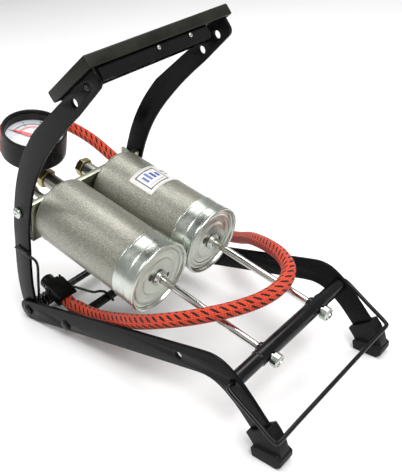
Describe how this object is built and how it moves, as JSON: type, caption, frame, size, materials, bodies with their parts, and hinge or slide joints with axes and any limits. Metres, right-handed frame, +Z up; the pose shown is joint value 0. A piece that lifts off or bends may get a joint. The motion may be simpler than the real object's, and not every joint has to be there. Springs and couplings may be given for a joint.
{
  "type": "foot air pump",
  "caption": "Foot-operated air pump with twin inclined cylinders on a folding strip-steel frame, a wide pedal, a dial gauge and a braided hose ending in a lever-lock valve chuck.",
  "frame": {"origin": "on the floor, in the middle plane, half way between the front and rear ends of the pump without its free hose", "axes": "+X across the pump from its left to its right side, +Y from the front feet towards the gauge at the rear, +Z up"},
  "size_m": [0.1785, 0.3701, 0.2387],
  "materials": {
    "black_paint": "satin black paint on steel",
    "black_rubber": "matt moulded rubber",
    "black_plastic": "moulded plastic, lightly textured",
    "silver_paint": "silver-grey hammered paint",
    "bright_zinc": "bright zinc plate",
    "yellow_zinc": "pale yellow zinc plate",
    "chromed_steel": "polished chrome",
    "brass": "machined brass",
    "aluminium": "turned aluminium",
    "braided_hose": "orange-red woven braid with dark flecks",
    "dial_white": "printed white dial",
    "needle_red": "red pointer",
    "clear_lens": "clear flat lens"
  },
  "bodies": {
    "base": {"rail_left": "black_paint", "rail_right": "black_paint", "rear_axle": "black_paint", "rear_crossbar": "black_paint", "boot_left": "black_rubber", "boot_right": "black_rubber", "torsion_spring": "black_paint", "hose": "braided_hose", "chuck_ferrule": "black_plastic", "chuck_body": "black_plastic", "chuck_seal": "black_rubber", "chuck_pin": "bright_zinc"},
    "lever": {"arm_left": "black_paint", "arm_right": "black_paint", "pedal_plate": "black_paint", "pedal_pad": "black_rubber", "pedal_rivet_left": "bright_zinc", "pedal_rivet_right": "bright_zinc", "pivot_bolt_left": "bright_zinc", "pivot_bolt_right": "bright_zinc"},
    "carriage": {"front_crossbar": "black_paint", "rod_left": "chromed_steel", "rod_nut_left": "bright_zinc", "piston_left": "aluminium", "piston_seal_left": "black_rubber", "piston_nut_left": "bright_zinc", "rod_right": "chromed_steel", "rod_nut_right": "bright_zinc", "piston_right": "aluminium", "piston_seal_right": "black_rubber", "piston_nut_right": "bright_zinc"},
    "cylinders": {"barrel_left": "silver_paint", "end_cap_left": "bright_zinc", "rod_bushing_left": "bright_zinc", "outlet_stub_left": "bright_zinc", "outlet_nut_left": "yellow_zinc", "barrel_right": "silver_paint", "end_cap_right": "bright_zinc", "rod_bushing_right": "bright_zinc", "outlet_stub_right": "bright_zinc", "outlet_nut_right": "yellow_zinc", "rear_bracket": "yellow_zinc", "manifold": "bright_zinc", "centre_nut": "brass", "tee_body": "brass", "gauge_stem": "brass", "gauge_case": "black_plastic", "gauge_dial": "dial_white", "gauge_lens": "clear_lens", "hose_ferrule": "bright_zinc"},
    "bail": {"bail_wire": "black_paint"},
    "lock_lever": {"chuck_lever": "black_plastic"},
    "pointer": {"gauge_needle": "needle_red"}
  },
  "joints": [
    {"name": "pedal_press", "type": "hinge", "parent": "base", "child": "lever", "pos_m": [0, 0.09485, 0.009], "axis": [1, 0, 0], "range_deg": [0, 46], "stiffness_Nm_per_rad": 1.5, "springref_deg": -28.65, "deforming": ["torsion_spring", "hose"]},
    {"name": "rod_swing", "type": "hinge", "parent": "base", "child": "carriage", "pos_m": [0, -0.12415, 0.0475], "axis": [1, 0, 0], "range_deg": [-10.4, 0]},
    {"name": "cylinder_stroke", "type": "slide", "parent": "carriage", "child": "cylinders", "axis": [0, -0.9681, -0.2504], "range_m": [0, 0.0709]},
    {"name": "bail_swing", "type": "hinge", "parent": "base", "child": "bail", "pos_m": [0, -0.12415, 0.0475], "axis": [-1, 0, 0], "range_deg": [0, 60]},
    {"name": "chuck_lock", "type": "hinge", "parent": "base", "child": "lock_lever", "pos_m": [-0.04473, 0.07548, 0.0333], "axis": [-0.9919, 0.1228, 0.0309], "range_deg": [0, 80]},
    {"name": "gauge_reading", "type": "hinge", "parent": "cylinders", "child": "pointer", "pos_m": [0, 0.12616, 0.13356], "axis": [0, 0.3584, -0.9336], "range_deg": [0, 252], "stiffness_Nm_per_rad": 0.0004, "springref_deg": -5.73}
  ],
  "couplings": [
    {"joint": "rod_swing", "follows": "pedal_press", "ratio": -0.2256},
    {"joint": "cylinder_stroke", "follows": "pedal_press", "m_per_rad": 0.0882}
  ]
}
